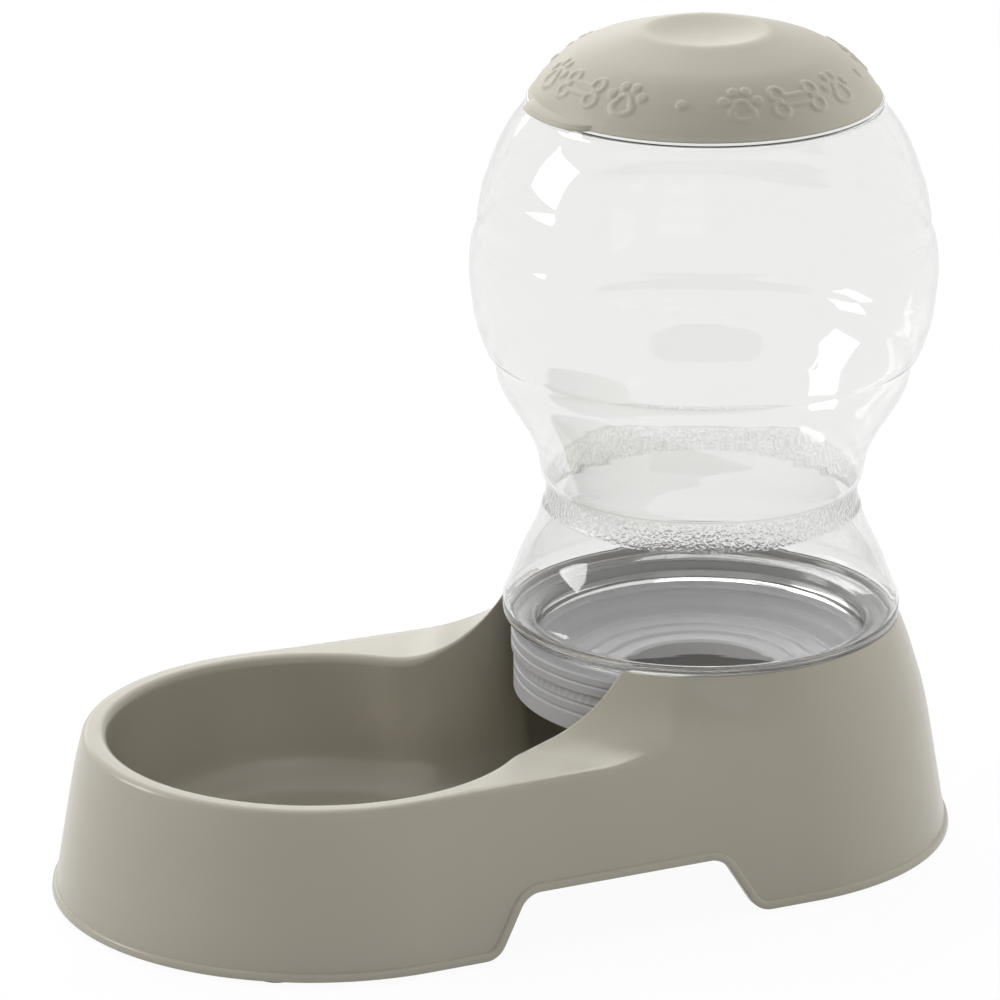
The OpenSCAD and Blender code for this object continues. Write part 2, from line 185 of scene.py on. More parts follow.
def revolve(line, columns, centre, added=None):
    """A closed line of [radius, height] carried round an upright axis: x = r cos a, y = r sin a.

    Added, if given, is a function of angle and height whose value is added to the radius.
    """
    angle = np.linspace(0, 2 * np.pi, columns, endpoint=False)
    radius = np.repeat(line[:, :1], columns, axis=1)
    height = np.repeat(line[:, 1:], columns, axis=1)
    if added is not None:
        radius = radius + added(angle[None, :], height)
    x, y = centre[0] + radius * np.cos(angle), centre[1] + radius * np.sin(angle)
    return np.stack([x, y, height], axis=-1)


def smooth_line(knots, shares):
    """A Catmull-Rom curve through the knots, sampled at these shares (0 to 1) of its length."""
    knots = np.array(knots, float)
    padded = np.vstack([2 * knots[0] - knots[1], knots, 2 * knots[-1] - knots[-2]])
    t = np.linspace(0, 1, 24, endpoint=False)[None, :, None]
    a, b, c, d = (padded[i:len(padded) - 3 + i, None, :] for i in range(4))
    curve = 0.5 * (2 * b + (c - a) * t + (2 * a - 5 * b + 4 * c - d) * t ** 2
                   + (3 * b - a - 3 * c + d) * t ** 3)
    curve = np.vstack([curve.reshape(-1, 2), knots[-1]])
    run = np.concatenate([[0], np.cumsum(np.hypot(*np.diff(curve, axis=0).T))])
    at = np.asarray(shares) * run[-1]
    return np.stack([np.interp(at, run, curve[:, 0]), np.interp(at, run, curve[:, 1])], axis=-1)


def offset_line(line, distance):
    """The line moved sideways by a distance, to the left of its own direction."""
    along = np.gradient(line, axis=0)
    along /= np.linalg.norm(along, axis=1, keepdims=True)
    return line + distance * np.stack([-along[:, 1], along[:, 0]], axis=-1)


def add_node(tree, kind, inputs=(), **settings):
    """Adds one node: settings are its own options, inputs are values or links by socket."""
    node = tree.nodes.new(kind)
    for key, value in settings.items():
        setattr(node, key, value)
    for key, value in dict(inputs).items():
        if isinstance(value, bpy.types.NodeSocket):
            tree.links.new(value, node.inputs[key])
        else:
            node.inputs[key].default_value = value
    return node


def new_material(name):
    """An empty node material, with the output that its shader goes to."""
    material = bpy.data.materials.new(name)
    material.use_nodes = True
    material.node_tree.nodes.clear()
    return material, material.node_tree, add_node(material.node_tree, "ShaderNodeOutputMaterial")


def moulded_polypropylene(name, colour, roughness):
    """Injection-moulded polypropylene: opaque, and satin from the mould's polished wall.

    The melt's flow leaves a faint drift of 5% in tone and 12% in roughness over 70 mm.
    """
    material, tree, output = new_material(name)
    where = add_node(tree, "ShaderNodeTexCoord").outputs["Object"]
    flow = add_node(tree, "ShaderNodeTexNoise", {"Vector": where, "Scale": MM / 70, "Detail": 2.0})
    darker, lighter = ([min(1.0, c * share) for c in colour[:3]] + [1.0] for share in (0.95, 1.05))
    shade = add_node(tree, "ShaderNodeMix", {"Factor": flow.outputs["Fac"], "A": darker, "B": lighter},
                     data_type="RGBA")
    gloss = add_node(tree, "ShaderNodeMapRange", {"Value": flow.outputs["Fac"], "To Min": roughness * 0.88,
                                                  "To Max": roughness * 1.12})
    shader = add_node(tree, "ShaderNodeBsdfPrincipled", {
        "Base Color": shade.outputs["Result"], "Roughness": gloss.outputs["Result"], "IOR": 1.49})
    tree.links.new(shader.outputs["BSDF"], output.inputs["Surface"])
    return material


FEET = ("foot_front_left", "foot_front_right", "foot_rear_left", "foot_rear_right")

# Outer line of the base's wall: it leans in by the draft, then curls in on one radius
FOOT_Z, CURL_Z, DRAFT, CURL_R = 2.0, 44.0, np.radians(9.4), 205.0
# Collar: radius of its bore, its width, and the width of its soft outer edge
BORE_R, COLLAR_W, COLLAR_SOFT = 75.7, 2.3, 0.7
# Hollow sweep up to the tower: radius, distance it stands out, the radius at which that
# begins, and the degrees over which the sweep fades to nothing
SWEEP_R, SWEEP_OUT, SWEEP_EASE, SWEEP_FADE = 44.0, 2.3, 34.0, 33.0
# Plan radius where the bowl turns into the throat, and where the throat opens into the well
TURN_R, WELL_TURN_R = 30.0, 4.0
# Draft of the basin's walls and radius of its lower corner
BASIN_DRAFT, BASIN_ROUND = np.radians(5.0), 18.0
# Finger arches: height, top width, slope, corner radius and shift of the middle
ARCH_H, ARCH_TOP, ARCH_SLOPE, ARCH_R, ARCH_SHIFT = 23.0, 84.0, np.radians(59.0), 10.0, 4.2
# Height of the bead along the lower edge, and depth of the hollow's ceiling under the collar
BEAD_H, CEILING_DROP = 3.3, 12.0


def lean_sine(z):
    """Sine of the outer wall's lean: sin(draft), then growing by (z - CURL_Z) / CURL_R above CURL_Z."""
    return np.sin(DRAFT) + np.maximum(z - CURL_Z, 0) / CURL_R


def wall_inset(z):
    """Inset of the outer wall: (z - foot) tan(draft), then a round of radius CURL_R above CURL_Z."""
    low = (np.minimum(z, CURL_Z) - FOOT_Z) * np.tan(DRAFT)
    return low + CURL_R * (np.cos(DRAFT) - np.sqrt(1 - lean_sine(z) ** 2))


class BasePlan:
    """Plan of the base: matching points of its inner and outer outlines, with their normals.

    The outer outline is two round ends joined by flats. The inner one is the bowl's
    circle, a round turn, the throat's flat side, a small round and the well's circle.
    """

    def __init__(self, group):
        (self.spacing, self.bowl_end, self.deck, self.collar, self.wall, self.bowl, self.floor,
         throat) = mm(group, "spacing bowl_end deck collar wall bowl floor throat")
        self.rim_round, self.crease_round, self.bead_out = mm(group, "rim_round crease_round bead_out")
        self.half = throat / 2
        self.tower_end = BORE_R + COLLAR_W + wall_inset(self.collar)
        self.bowl_x = -(self.spacing + self.tower_end - self.bowl_end) / 2
        self.tower_x = self.bowl_x + self.spacing
        lean = np.arcsin((self.bowl_end - self.tower_end) / self.spacing)
        self.arch_x = (self.bowl_x + self.tower_x) / 2 + ARCH_SHIFT
        heights = np.linspace(FOOT_Z, self.collar, 400)
        self.cone = (wall_inset(heights), heights)

        far, right = np.linspace(0, 1, 100, endpoint=False), np.linspace(0, 1, 84)
        x = self.stations()
        share = (x - self.bowl_x) / self.spacing
        flat = lambda a, b: a + (b - a) * share
        inner_a, outer_a = np.pi - far * np.pi / 2, np.pi - far * (np.pi / 2 + lean)
        inner_c, outer_c = (1 - right) * np.pi / 2, (1 - right) * (np.pi / 2 - lean)
        mid, mid_normal = self.inner_side(x)
        normal = np.stack([np.full_like(x, np.sin(lean)), np.full_like(x, np.cos(lean))], -1)
        round_at = lambda cx, r, a: (np.stack([cx + r * np.cos(a), r * np.sin(a)], -1),
                                     np.stack([np.cos(a), np.sin(a)], -1))
        a_in, c_in = round_at(self.bowl_x, self.bowl, inner_a), round_at(self.tower_x, BORE_R, inner_c)
        a_out = round_at(self.bowl_x, self.bowl_end, outer_a)
        c_out = round_at(self.tower_x, self.tower_end, outer_c)
        side = np.stack([flat(self.bowl_x + self.bowl_end * np.sin(lean),
                              self.tower_x + self.tower_end * np.sin(lean)),
                         flat(self.bowl_end * np.cos(lean), self.tower_end * np.cos(lean))], -1)
        self.inner, self.inner_n, self.outer, self.outer_n = (
            self.both_sides(np.vstack(parts)) for parts in (
                (a_in[0], mid, c_in[0]), (a_in[1], mid_normal, c_in[1]),
                (a_out[0], side, c_out[0]), (a_out[1], normal, c_out[1])))

    def stations(self):
        """Places along X between the two axes, closer together where an arch or a round turns."""
        ends = ARCH_TOP / 2 + ARCH_H / np.tan(ARCH_SLOPE) / 2
        turn = self.turn_centre()[0]
        well = self.well_turn()[0]
        fine = np.linspace(self.bowl_x, self.tower_x, 3000)
        near = lambda c, w: np.exp(-((fine - c) / w) ** 2)
        weight = (1 + 1.3 * near(self.arch_x - ends, 16) + 1.3 * near(self.arch_x + ends, 16)
                  + 6 * near(well + WELL_TURN_R / 3, 3) + 0.5 * near(turn, 20))
        run = np.concatenate([[0], np.cumsum((weight[1:] + weight[:-1]) / 2)])
        return np.interp(np.linspace(0, run[-1], 180, endpoint=False), run, fine)

    def turn_centre(self):
        """Centre of the round that turns the bowl into the throat, on the rear side."""
        y = self.half + TURN_R
        return self.bowl_x + np.sqrt((self.bowl + TURN_R) ** 2 - y ** 2), y

    def well_turn(self):
        """Centre of the small round where the throat opens into the well."""
        y = self.half + WELL_TURN_R
        return self.tower_x - np.sqrt((BORE_R + WELL_TURN_R) ** 2 - y ** 2), y

    def inner_side(self, x):
        """Inner outline between the two axes as y of x: circle, turn, flat, turn and circle."""
        (tx, ty), (wx, wy) = self.turn_centre(), self.well_turn()
        first = self.bowl_x + self.bowl * (tx - self.bowl_x) / (self.bowl + TURN_R)
        last = wx + WELL_TURN_R * (self.tower_x - wx) / (BORE_R + WELL_TURN_R)
        cosine = lambda c, r: np.clip((x - c) / r, -1, 1)
        sine = lambda c, r: np.sqrt(1 - cosine(c, r) ** 2)
        where = [x < first, x < tx, x < wx, x < last, x >= last]
        y = np.select(where, [self.bowl * sine(self.bowl_x, self.bowl), ty - TURN_R * sine(tx, TURN_R),
                              np.full_like(x, self.half), wy - WELL_TURN_R * sine(wx, WELL_TURN_R),
                              BORE_R * sine(self.tower_x, BORE_R)])
        nx = np.select(where, [cosine(self.bowl_x, self.bowl), -cosine(tx, TURN_R), np.zeros_like(x),
                               -cosine(wx, WELL_TURN_R), cosine(self.tower_x, BORE_R)])
        return np.stack([x, y], -1), np.stack([nx, np.sqrt(1 - nx ** 2)], -1)

    @staticmethod
    def both_sides(rear):
        """The rear half of a loop followed by its mirror image, without the doubled ends."""
        return np.vstack([rear, rear[-2:0:-1] * [1, -1]])

    def arch_edge(self, x, grow):
        """Height of the lower edge at x: a flat, a hollow round, a slope, a round and the arch's top."""
        run = ARCH_H / np.tan(ARCH_SLOPE)
        u = np.abs(x - self.arch_x)
        top_x = ARCH_TOP / 2 - ARCH_R * np.tan(ARCH_SLOPE / 2)
        foot_x = ARCH_TOP / 2 + run + ARCH_R * np.tan(ARCH_SLOPE / 2)
        top_r, foot_r = ARCH_R + grow, ARCH_R - grow
        top_z, foot_z = FOOT_Z + ARCH_H - ARCH_R, FOOT_Z + ARCH_R
        bend = top_x + top_r * np.sin(ARCH_SLOPE)
        root = lambda r, d: np.sqrt(np.maximum(r ** 2 - d ** 2, 0))
        slope = top_z + top_r * np.cos(ARCH_SLOPE) - (u - bend) * np.tan(ARCH_SLOPE)
        return np.select([u < top_x, u < bend, u < foot_x - foot_r * np.sin(ARCH_SLOPE), u < foot_x],
                         [FOOT_Z + ARCH_H + grow + 0 * u, top_z + root(top_r, u - top_x), slope,
                          foot_z - root(foot_r, foot_x - u)], FOOT_Z + grow)

    def top(self, xy, lower=0.0):
        """Height of the deck, the hollow sweep and the tower's cone, about the tower's axis.

        The sweep is an arc of radius r that touches the deck and the cone. It touches the
        cone, whose lean has the sine s, where r = (height - deck) / (1 - s). Towards the
        bowl r is SWEEP_R, and both stand SWEEP_OUT further out; r fades to nothing over
        the last SWEEP_FADE degrees before the sides. The collar's top is a smooth minimum
        of that height and the collar's. Lower gives the underside.
        """
        dx, dy = self.tower_x - xy[..., 0], np.abs(xy[..., 1])
        r = SWEEP_R * np.clip((90 - np.degrees(np.arctan2(dy, dx))) / SWEEP_FADE, 0, 1) + 1e-6
        ease = np.clip((r - SWEEP_EASE) / (SWEEP_R - SWEEP_EASE), 0, 1)
        reach = np.hypot(dx, dy) + lower - SWEEP_OUT * ease ** 2 * (3 - 2 * ease)
        heights = np.linspace(self.deck, self.collar + 12, 400)
        touch_z = np.interp(r, (heights - self.deck) / (1 - lean_sine(heights)), heights)
        touch = self.tower_end - wall_inset(touch_z)
        centre = touch + r * np.sqrt(1 - lean_sine(touch_z) ** 2)
        sweep = self.deck + r - np.sqrt(np.maximum(r ** 2 - (centre - reach) ** 2, 0))
        cone = np.interp(self.tower_end - reach, *self.cone)
        z = np.where(reach >= centre, self.deck, np.where(reach > touch, sweep, cone))
        share = np.clip(0.5 + 0.5 * (self.collar - z) / COLLAR_SOFT, 0, 1)
        return z * share + self.collar * (1 - share) - COLLAR_SOFT * share * (1 - share) * 0.5 - lower


def along(low, high, count, power=1.0):
    """Count rows from low to high, each an array over the columns, as low + (high - low) t^power."""
    t = (np.linspace(0, 1, count) ** power)[:, None]
    return low + (high - low) * t


def rounded(start, corner, end, count):
    """Rows on a round corner: (1-t)^2 start + 2t(1-t) corner + t^2 end."""
    t = np.linspace(0, 1, count)[:, None, None]
    return (1 - t) ** 2 * start + 2 * t * (1 - t) * corner + t ** 2 * end


def base_grid(plan):
    """Rows of points from the basin's floor over the rim and down the outer wall, then back inside."""
    inner, inner_n, outer, outer_n = plan.inner, plan.inner_n, plan.outer, plan.outer_n
    columns = len(inner)
    join = lambda xy, z: np.concatenate([xy, np.broadcast_to(z, xy.shape[:-1])[..., None]], -1)
    on_wall = lambda z, out=0.0: join(outer - outer_n * (wall_inset(z) - out)[..., None], z)
    lean_in = lambda z: np.maximum(plan.deck - z, 0) * np.tan(BASIN_DRAFT)
    corner_z = plan.floor + BASIN_ROUND
    corner_in = ((plan.deck - corner_z + BASIN_ROUND * np.sin(BASIN_DRAFT)) * np.tan(BASIN_DRAFT)
                 + BASIN_ROUND * np.cos(BASIN_DRAFT))

    def basin_corner(grow, angles):
        """Rows on the basin's lower corner, its radius larger by grow."""
        r = BASIN_ROUND + grow
        inset = (corner_in + r * np.cos(angles))[:, None, None]
        z = (corner_z + r * np.sin(angles))[:, None] * np.ones(columns)
        return join(inner - inner_n * inset, z)

    def spine(z):
        """A row shrunk to the line between the two axes."""
        xy = np.stack([np.clip(inner[:, 0], plan.bowl_x, plan.tower_x), np.zeros(columns)], -1)
        return join(xy, np.full(columns, z))[None]

    # Height of the crease: the lowest one where the deck's surface is level with the outer wall
    heights = np.linspace(plan.deck, plan.collar, 1200)[:, None] * np.ones(columns)
    above = plan.top(on_wall(heights)[..., :2]) - heights
    level = 0.003
    crease_z = heights[np.argmax(above <= level, axis=0), np.arange(columns)]
    crease = outer - outer_n * wall_inset(crease_z)[:, None]
    width = np.linalg.norm(crease - inner, axis=1)
    outward = (crease - inner) / width[:, None]
    on_deck = lambda d: join(inner + outward * d[..., None], plan.top(inner + outward * d[..., None]))

    # The rim is rounded less near the collar, and the crease where the deck is narrow
    tower_r = np.hypot(inner[:, 0] - plan.tower_x, inner[:, 1])
    lip = np.interp(tower_r, [76, 80, 115], [0.8, 1.2, plan.rim_round])
    fade = np.minimum(plan.crease_round, 0.42 * (width - lip))
    # Distance from the inner outline at which the collar's flat top ends
    probe = along(lip, width, 300)
    flat_top = on_deck(probe)[..., 2] > plan.collar - 0.4
    collar_d = np.maximum(probe[np.argmin(flat_top, axis=0), np.arange(columns)], lip + 0.05)
    lip_z = plan.top(inner)

    arc = np.linspace(1.5 * np.pi, np.pi + BASIN_DRAFT, 9)
    wall_z = along(np.full(columns, corner_z - BASIN_ROUND * np.sin(BASIN_DRAFT)), lip_z - lip, 10)[1:]
    side = lambda z, grow=0.0: join(inner - inner_n * (lean_in(z) - grow / np.cos(BASIN_DRAFT))[..., None], z)
    edge = lambda grow: plan.arch_edge(outer[:, 0], grow)
    bead = lambda grow, out: on_wall(edge(grow), out * plan.bead_out)[None]
    ceiling = plan.collar - CEILING_DROP
    skirt_top = np.minimum(crease_z - plan.wall, ceiling)
    under = on_wall(skirt_top, -plan.wall)[:, :2]
    skin = inner + inner_n * (plan.wall / np.cos(BASIN_DRAFT))
    across = under + (skin - under) * np.linspace(0, 1, 7)[1:, None, None]
    under_z = np.minimum(plan.top(across, plan.wall), ceiling)
    back = np.linspace(np.pi + BASIN_DRAFT, 1.5 * np.pi, 7)
    rows = [
        # Basin, rim, deck and outer wall
        spine(plan.floor), basin_corner(0.0, arc), side(wall_z),
        rounded(side(lip_z - lip), join(inner, lip_z), on_deck(lip), 7)[1:],
        on_deck(along(lip, collar_d, 4)[1:]),
        on_deck(along(collar_d, width - fade, 22, 1.5)[1:]),
        rounded(on_deck(width - fade), join(crease, crease_z), on_wall(crease_z - fade * 0.9), 8)[1:],
        on_wall(along(crease_z - fade * 0.9, edge(BEAD_H + 0.5), 17)[1:]),
        # Bead along the lower edge
        bead(BEAD_H + 0.05, 0.03), bead(BEAD_H - 0.15, 0.6), bead(BEAD_H - 0.6, 0.97),
        bead(BEAD_H / 2, 1.0), bead(0.6, 0.97), bead(0.15, 0.8), bead(0.0, 0.4),
        bead(0.0, -plan.wall / plan.bead_out + 0.25), bead(0.1, -plan.wall / plan.bead_out),
        # Inside of the skirt, ceiling, and underside of the basin
        on_wall(along(edge(0.4), skirt_top, 7), -plan.wall),
        join(across, under_z),
        side(along(under_z[-1] - 1.0, np.full(columns, corner_z), 6), plan.wall),
        basin_corner(plan.wall, back), spine(plan.floor - plan.wall),
    ]
    return np.concatenate(rows)


# Foot pads under the base: radius, seat radius, height and depth of the seat
PAD_R, SEAT_R, PAD_H, SEAT_DEPTH = 13.1, 10.3, 4.3, 1.5


def foot_pad(plan, foot):
    """Round pad with a seat for a foot, and the rib over it, as two closed grids.

    The rib stands across the gap between the basin's wall and the outer wall. At each
    height it reaches into the middle of both walls, but no wider than the pad.
    """
    at_bowl = foot[0] < plan.arch_x
    axis_x, bore, end = ((plan.bowl_x, plan.bowl, plan.bowl_end) if at_bowl
                         else (plan.tower_x, BORE_R, plan.tower_end))
    line = np.array([(0, SEAT_DEPTH), (SEAT_R - 0.1, SEAT_DEPTH), (SEAT_R, SEAT_DEPTH - 0.1), (SEAT_R, 0.1),
                     (SEAT_R + 0.1, 0), (PAD_R - 0.2, 0), (PAD_R, 0.2), (PAD_R, PAD_H - 0.1),
                     (PAD_R - 0.1, PAD_H), (0, PAD_H)]) + (0, FOOT_Z)
    pad = revolve(line, 72, foot)
    across = pad[..., :2] - (axis_x, 0)
    reach = np.linalg.norm(across, axis=-1)
    most = end - wall_inset(pad[..., 2]) - plan.wall / 2
    pad[..., :2] = (axis_x, 0) + across * np.minimum(1, most / reach)[..., None]

    z = np.linspace(FOOT_Z + PAD_H - 1, plan.deck - plan.wall / 2, 24)
    chord = lambda r: np.sqrt(r ** 2 - (foot[0] - axis_x) ** 2)
    side = abs(foot[1])
    half = plan.wall / 2
    inside = chord(bore + half - (plan.deck - z) * np.tan(BASIN_DRAFT))
    inside = np.where(z < plan.floor, side - PAD_R, np.maximum(inside, side - PAD_R))
    outside = np.minimum(chord(end - wall_inset(z) - half), side + PAD_R - 0.5)
    corners = np.stack([np.stack([np.full_like(z, foot[0] + dx), np.sign(foot[1]) * y, z], -1) for dx, y in (
        (-half, inside), (half, inside), (half, outside), (-half, outside))], axis=1)
    ends = [np.broadcast_to(row.mean(0), (1, 4, 3)) for row in (corners[0], corners[-1])]
    return [pad, np.concatenate([ends[0], corners, ends[1]])]


class FEEDER_OT_base(bpy.types.Operator):
    """Builds the moulded base, from the basin's floor to the underside, with its foot pads"""
    bl_idname = "feeder.base"
    bl_label = "Moulded base"

    def execute(self, context):
        group = context.scene.feeder_base
        plan = BasePlan(group)
        pads = []
        for name in FEET:
            low, high = (MM * np.array(corner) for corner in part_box(name))
            pads += foot_pad(plan, (low + high)[:2] / 2)
        piece = surface("moulded_base", base_grid(plan), *pads)
        piece.data.set_sharp_from_angle(angle=np.radians(60))
        material = moulded_polypropylene("injection_moulded_polypropylene_taupe", group.colour, 0.23)
        finish_piece(piece, material, "feeder", "taupe_plastic", "base")
        return {"FINISHED"}


# Height of the collar above the bottle's lowest edge
NECK_H = 11.6
# Outer line of the blown bottle as [radius, height above the collar], from the seat to the mouth
BOTTLE_KNOTS = (
    (78.3, 3.5), (78.2, 6.0), (77.3, 7.5), (76.0, 11), (74.5, 15), (73.0, 19), (71.5, 23), (69.7, 27),
    (67.6, 31), (65.7, 35), (64.2, 39), (63.1, 43), (62.5, 45.5), (61.6, 47), (61.3, 51), (61.5, 55),
    (62.3, 56.5), (63.4, 59), (64.0, 63), (64.8, 67), (66.0, 71), (67.9, 75), (70.0, 79), (72.5, 83),
    (75.0, 87), (77.4, 91), (79.5, 95), (80.9, 99), (81.6, 103), (83.0, 107), (85.6, 110.7), (87.1, 115),
    (88.4, 119), (89.5, 123), (90.6, 131), (91.4, 139), (91.5, 143), (90.9, 151), (90.0, 155), (88.7, 158.6),
    (88.2, 162), (88.2, 165), (87.4, 168.4), (86.8, 172), (85.8, 176), (84.6, 179), (83.3, 183), (81.8, 187),
    (80.1, 191), (78.1, 195), (75.7, 199), (72.8, 203), (69.4, 207.4))


def bottle_line(wall, low, high):
    """Closed line of the bottle's shell: outside upwards, over the mouth, and inside downwards."""
    body = smooth_line(BOTTLE_KNOTS, np.linspace(0, 1, 150))
    neck = np.array([(66.0, low), (66.0, -3.6), (66.6, -3.0), (74.4, -3.0), (75.2, -2.6), (75.4, -1.8),
                     (75.4, 0.0), (77.2, 0.0), (78.1, 0.5), (78.4, 1.5)])
    mouth = np.array([(69.4, 209.7), (68.9, 210.4), (63.6, 210.4), (63.4, 210.8), (63.4, high)])
    inner_neck = np.array([(66.0 - wall, low), (66.0 - wall, -2.4), (66.4, -1.8), (73.4, -1.8), (74.0, -1.0),
                           (74.4, 0.8), (76.4, 1.4)])
    inner_mouth = np.array([(68.0, 209.0), (62.2, 209.2), (62.0, high)])
    inner = np.vstack([inner_neck, offset_line(body, wall), inner_mouth])
    return np.vstack([neck, body, mouth, inner[::-1]])


# Stippled band at the waist: height of its middle above the table, half its height, width of
# its soft edge, and distance from its middle up to the painted dark line, painted shade along the crease
WAIST_Z, WAIST_HALF, WAIST_SOFT, WAIST_SHADE_LINE = 141.5, 5.2, 1.0, 6.2


def clear_polyester(name, colour):
    """Blow-moulded polyester: clear, very glossy, and barely dulled by the mould.

    The waist's band was cut into the mould as a stipple. Its grains are about 1.3 mm apart
    and pass less light. The band is soft at its edges, with a thin line of painted shade over it,
    along the crease.
    """
    material, tree, output = new_material(name)
    where = add_node(tree, "ShaderNodeTexCoord").outputs["Object"]
    height = add_node(tree, "ShaderNodeSeparateXYZ", {"Vector": where}).outputs["Z"]
    grain = add_node(tree, "ShaderNodeTexNoise", {"Vector": where, "Scale": MM / 1.3, "Detail": 1.0})
    dots = add_node(tree, "ShaderNodeMapRange", {"Value": grain.outputs["Fac"], "From Min": 0.4,
                                                 "From Max": 0.6})

    def band(middle, half, soft):
        """1 within half of a height, falling to 0 over a soft edge."""
        offset = add_node(tree, "ShaderNodeMath", {0: height, 1: middle / MM}, operation="SUBTRACT")
        away = add_node(tree, "ShaderNodeMath", {0: offset.outputs[0]}, operation="ABSOLUTE")
        return add_node(tree, "ShaderNodeMapRange", {
            "Value": away.outputs[0], "From Min": half / MM, "From Max": (half + soft) / MM,
            "To Min": 1.0, "To Max": 0.0}).outputs["Result"]

    stipple = add_node(tree, "ShaderNodeMath", {
        0: dots.outputs["Result"], 1: band(WAIST_Z, WAIST_HALF, WAIST_SOFT)}, operation="MULTIPLY")
    # Painted shade: a thin darker line along the crease over the band, mixed in with the stipple
    dull = add_node(tree, "ShaderNodeMath", {
        0: stipple.outputs[0], 1: band(WAIST_Z + WAIST_SHADE_LINE, 0.2, 0.5)}, operation="MAXIMUM")
    shade = add_node(tree, "ShaderNodeMix", {"Factor": dull.outputs[0], "A": colour,
                                             "B": linear("#E0E0DE")}, data_type="RGBA")
    bump = add_node(tree, "ShaderNodeBump", {"Height": stipple.outputs[0], "Strength": 0.3,
                                             "Distance": 0.15 / MM})
    shader = add_node(tree, "ShaderNodeBsdfPrincipled", {
        "Base Color": shade.outputs["Result"], "Roughness": 0.015, "IOR": 1.5,
        "Transmission Weight": 1.0, "Normal": bump.outputs["Normal"]})
    tree.links.new(shader.outputs["BSDF"], output.inputs["Surface"])
    return material


class FEEDER_OT_bottle(bpy.types.Operator):
    """Builds the blown bottle as one thin shell turned about its axis"""
    bl_idname = "feeder.bottle"
    bl_label = "Blown bottle"

    def execute(self, context):
        group = context.scene.feeder_bottle
        wall, = mm(group, "wall")
        low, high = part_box("bottle")
        centre = (MM * (low.x + high.x) / 2, MM * (low.y + high.y) / 2)
        collar = MM * low.z + NECK_H
        line = bottle_line(wall, -NECK_H, MM * high.z - collar) + (0, collar)
        piece = surface("blown_bottle", revolve(line, 300, centre), wrap_rows=True)
        material = clear_polyester("blow_moulded_pet_clear", group.colour)
        finish_piece(piece, material, "feeder", "clear_plastic", "bottle")
        return {"FINISHED"}


def milky_polypropylene(name, colour, inside, centre):
    """Moulded polypropylene without pigment: milky grey and half matte, and it passes some light.

    Its gloss drifts over 25 mm. The cup, within 66.6 mm of the axis, is thin, and the light through it
    is painted in as a paler grey: a painted glow.
    """
    material, tree, output = new_material(name)
    where = add_node(tree, "ShaderNodeTexCoord").outputs["Object"]
    cloud = add_node(tree, "ShaderNodeTexNoise", {"Vector": where, "Scale": MM / 25, "Detail": 2.0})
    gloss = add_node(tree, "ShaderNodeMapRange", {"Value": cloud.outputs["Fac"], "To Min": 0.3,
                                                  "To Max": 0.42})
    level = add_node(tree, "ShaderNodeVectorMath", {0: where, 1: (1, 1, 0)}, operation="MULTIPLY")
    away = add_node(tree, "ShaderNodeVectorMath", {
        0: level.outputs["Vector"], 1: (centre[0] / MM, centre[1] / MM, 0)}, operation="DISTANCE")
    # Painted glow: within 66.6 mm of the axis the grey turns to the paler cup colour
    cup = add_node(tree, "ShaderNodeMapRange", {"Value": away.outputs["Value"], "From Min": 66.6 / MM,
                                                "From Max": 68.4 / MM, "To Min": 1.0, "To Max": 0.0})
    shade = add_node(tree, "ShaderNodeMix", {"Factor": cup.outputs["Result"], "A": colour, "B": inside},
                     data_type="RGBA")
    shader = add_node(tree, "ShaderNodeBsdfPrincipled", {
        "Base Color": shade.outputs["Result"], "Roughness": gloss.outputs["Result"], "IOR": 1.49,
        "Transmission Weight": 0.2})
    tree.links.new(shader.outputs["BSDF"], output.inputs["Surface"])
    return material


def ring_profile(radius):
    """Closed line of [radius, height] of the neck ring, and how many of its points are outside.

    Outside is a skirt with two grooves and a grip band. Inside, a lip and a flared seat
    lead down a round wall to a stepped floor, with a bead on each step, and the outlet.
    """
    skirt = radius - 1.0
    outside = [(skirt - 2.2, 0), (skirt - 0.5, 0), (skirt, 0.5), (skirt, 7.0), (skirt - 0.6, 7.4),
               (skirt - 0.6, 8.2), (skirt, 8.6), (skirt, 11.4), (skirt - 0.6, 11.8), (skirt - 0.6, 12.6),
               (skirt, 13.0), (skirt, 17.0), (radius, 17.3), (radius, 20.4), (radius - 0.5, 20.8),
               (radius - 0.5, 21.4), (radius, 21.8), (radius, 24.4), (radius - 0.6, 25.0)]
    turn = np.radians(np.linspace(0, -90, 6))
    round_wall = lambda r, angles: [(59.5 + r * np.cos(a), 15.1 + r * np.sin(a)) for a in angles]
    inside = [(66.4, 25.0), (66.4, 20.1), (64.5, 20.1), (64.5, 18.4), (63.6, 17.9), (63.6, 17.3),
              (64.5, 16.8)] + round_wall(5.0, turn)
    for r, z in ((52.1, 10.1), (44.75, 9.3), (37.4, 8.5)):
        inside += [(r + 2.0, z), (r + 1.6, z + 0.5), (r + 1.0, z + 0.7), (r + 0.4, z + 0.5), (r, z - 0.4),
                   (r - 0.4, z - 0.8)]
    inside += [(31.0, 7.7), (30.0, 6.7), (30.0, 1.6), (32.2, 1.6), (32.2, 5.5)]
    inside += round_wall(7.2, turn[::-1]) + [(68.5, 17.9), (68.5, 22.8), (skirt - 2.2, 22.8)]
    return np.array(outside + inside), len(outside)


